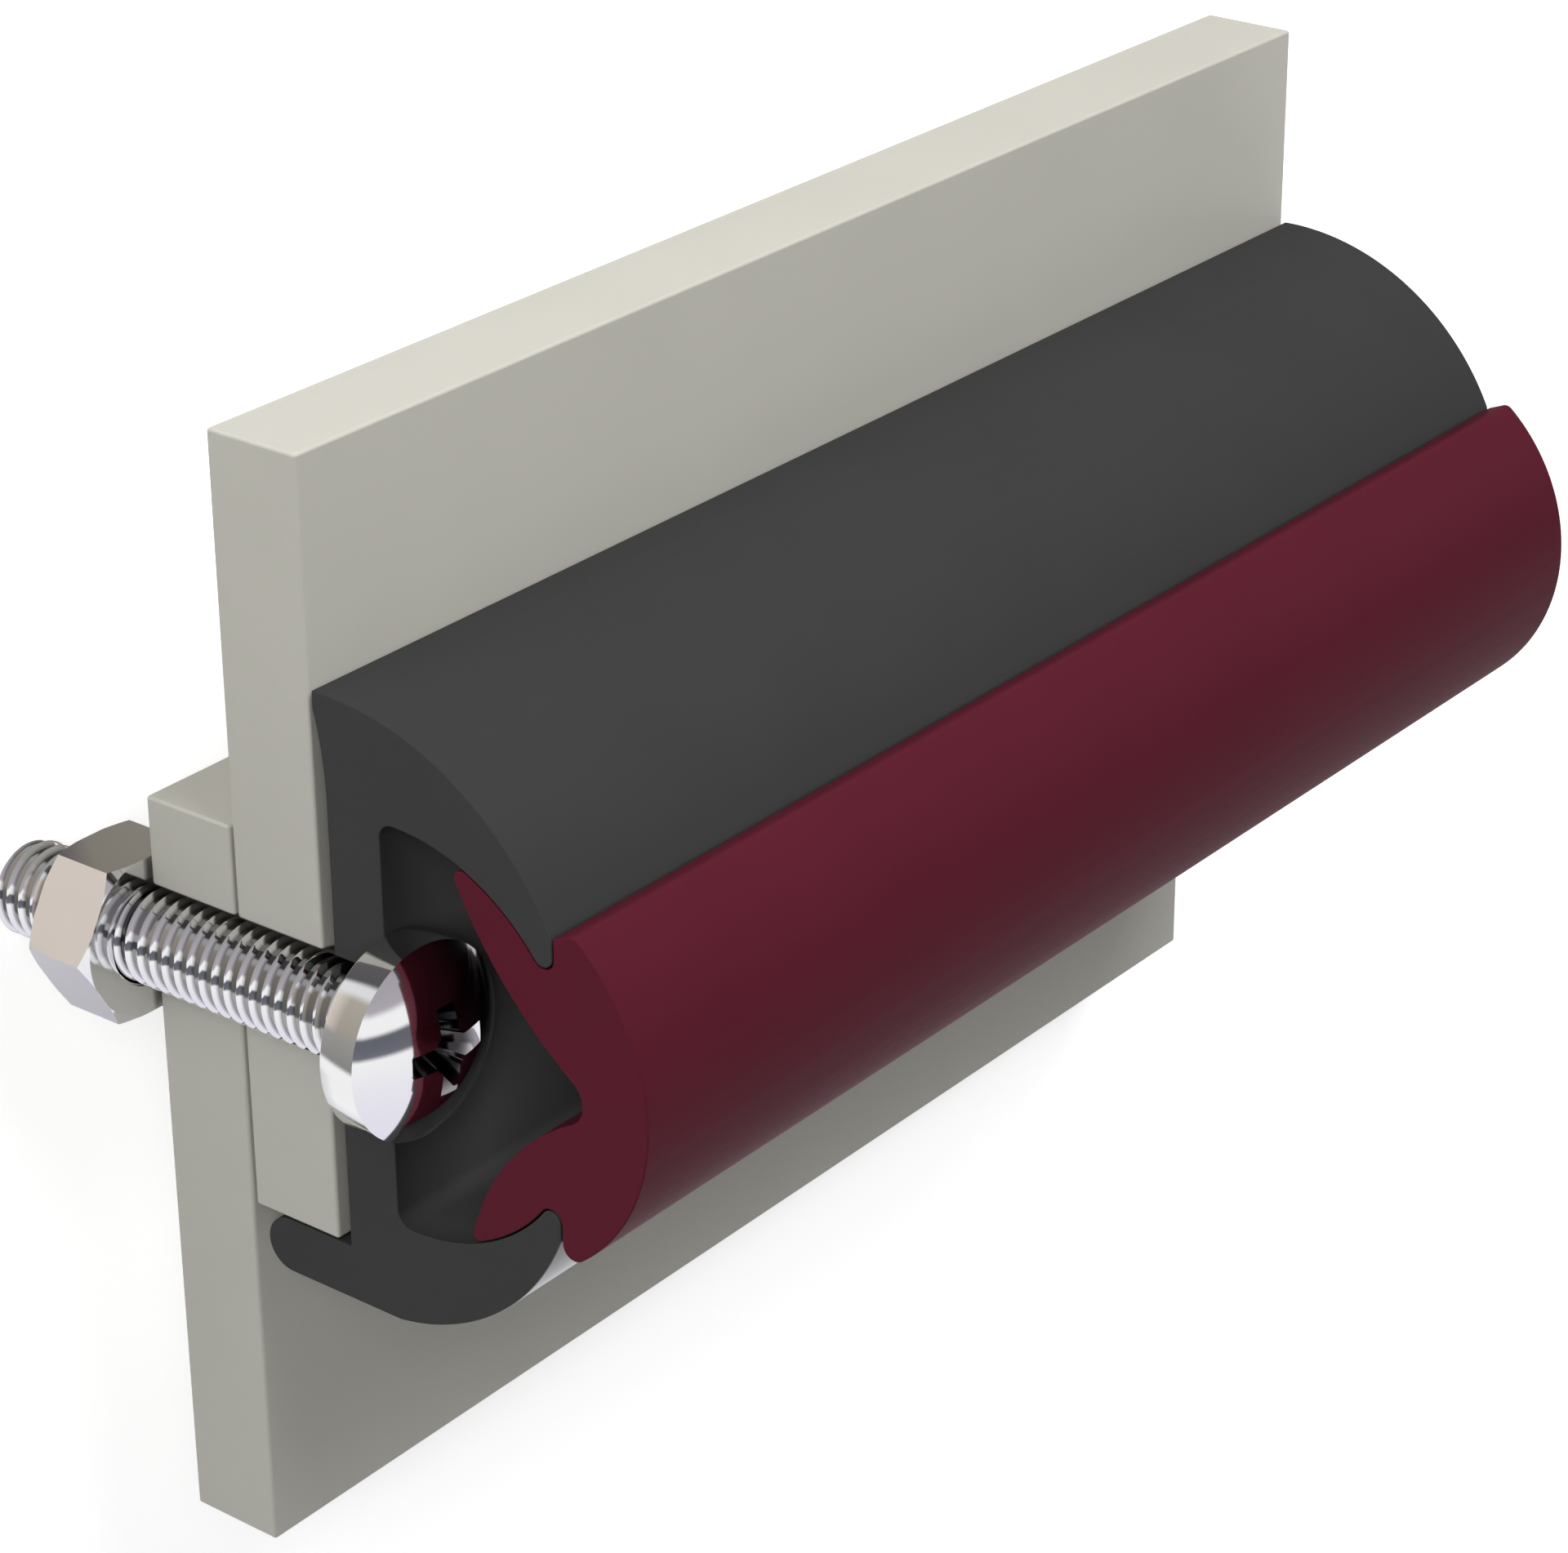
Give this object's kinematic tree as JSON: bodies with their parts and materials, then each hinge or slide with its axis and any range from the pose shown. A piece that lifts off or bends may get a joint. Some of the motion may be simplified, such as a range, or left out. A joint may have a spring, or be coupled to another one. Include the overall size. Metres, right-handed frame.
{
  "type": "rub rail",
  "caption": "Half-round vinyl rub rail with a snap-in burgundy insert, clamped over two lapped hull and deck flanges by a pan-head machine screw and hex nut.",
  "frame": {"origin": "centre of the bounding box's underside, with the sample lying on its back on a flat floor", "axes": "+X along the rail away from the cut end with the screw, tipped 6.4 degrees down; +Y up the hull side, towards the deck plate's free edge; +Z out from the hull, the way the rail's nose points"},
  "size_m": [0.1098, 0.0738, 0.0486],
  "materials": {
    "gelcoat": "satin",
    "charcoal_vinyl": "satin",
    "burgundy_vinyl": "satin",
    "chrome": "polished"
  },
  "bodies": {
    "root": {"deck_plate": "gelcoat", "hull_plate": "gelcoat", "base_profile": "charcoal_vinyl", "insert_profile": "burgundy_vinyl", "machine_screw": "chrome", "hex_nut": "chrome"}
  },
  "joints": []
}
